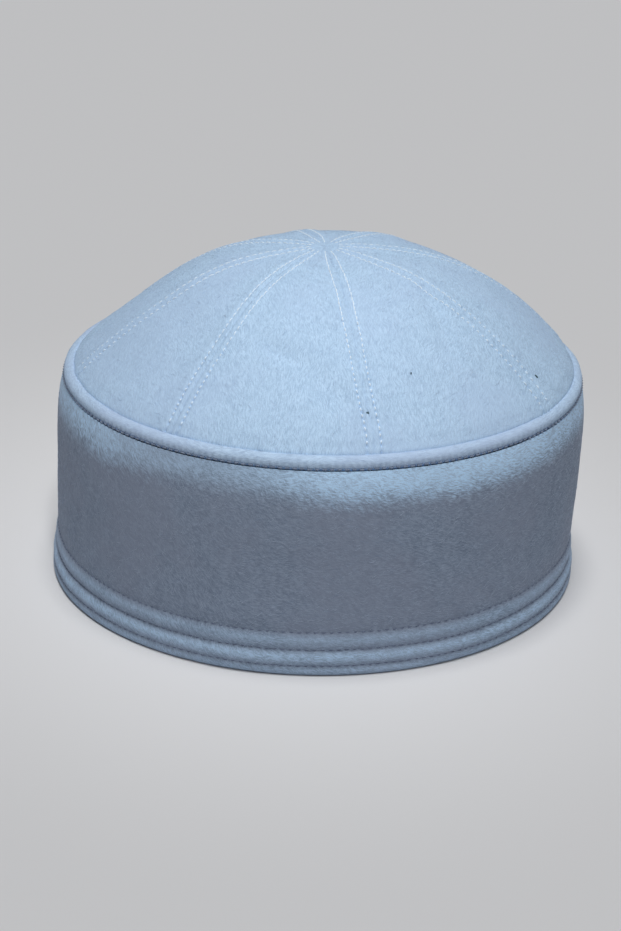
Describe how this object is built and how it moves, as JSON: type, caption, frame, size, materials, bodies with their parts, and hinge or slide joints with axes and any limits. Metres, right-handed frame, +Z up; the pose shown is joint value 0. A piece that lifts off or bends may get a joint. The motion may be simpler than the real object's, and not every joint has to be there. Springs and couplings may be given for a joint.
{
  "type": "felt prayer cap",
  "caption": "Round felt prayer cap: a low domed crown of sewn gores, a rolled welt in the seam, and a tall upright side band with a turned hem.",
  "frame": {"origin": "middle of the rim that the cap stands on", "axes": "+Z up through the crown's tip, -Y the front that the picture shows, +X to the right as seen from the front"},
  "size_m": [0.1949, 0.1944, 0.1222],
  "materials": {
    "crown_felt": "pale blue-grey wool felt with a short soft nap",
    "welt_felt": "blue-grey wool felt with a lavender tint, folded into a roll",
    "band_felt": "blue-grey wool felt with a short brushed nap"
  },
  "bodies": {
    "root": {"crown_gore_1": "crown_felt", "crown_gore_2": "crown_felt", "crown_gore_3": "crown_felt", "crown_gore_4": "crown_felt", "crown_gore_5": "crown_felt", "crown_gore_6": "crown_felt", "crown_gore_7": "crown_felt", "crown_gore_8": "crown_felt", "welt": "welt_felt", "side_band": "band_felt"}
  },
  "joints": []
}
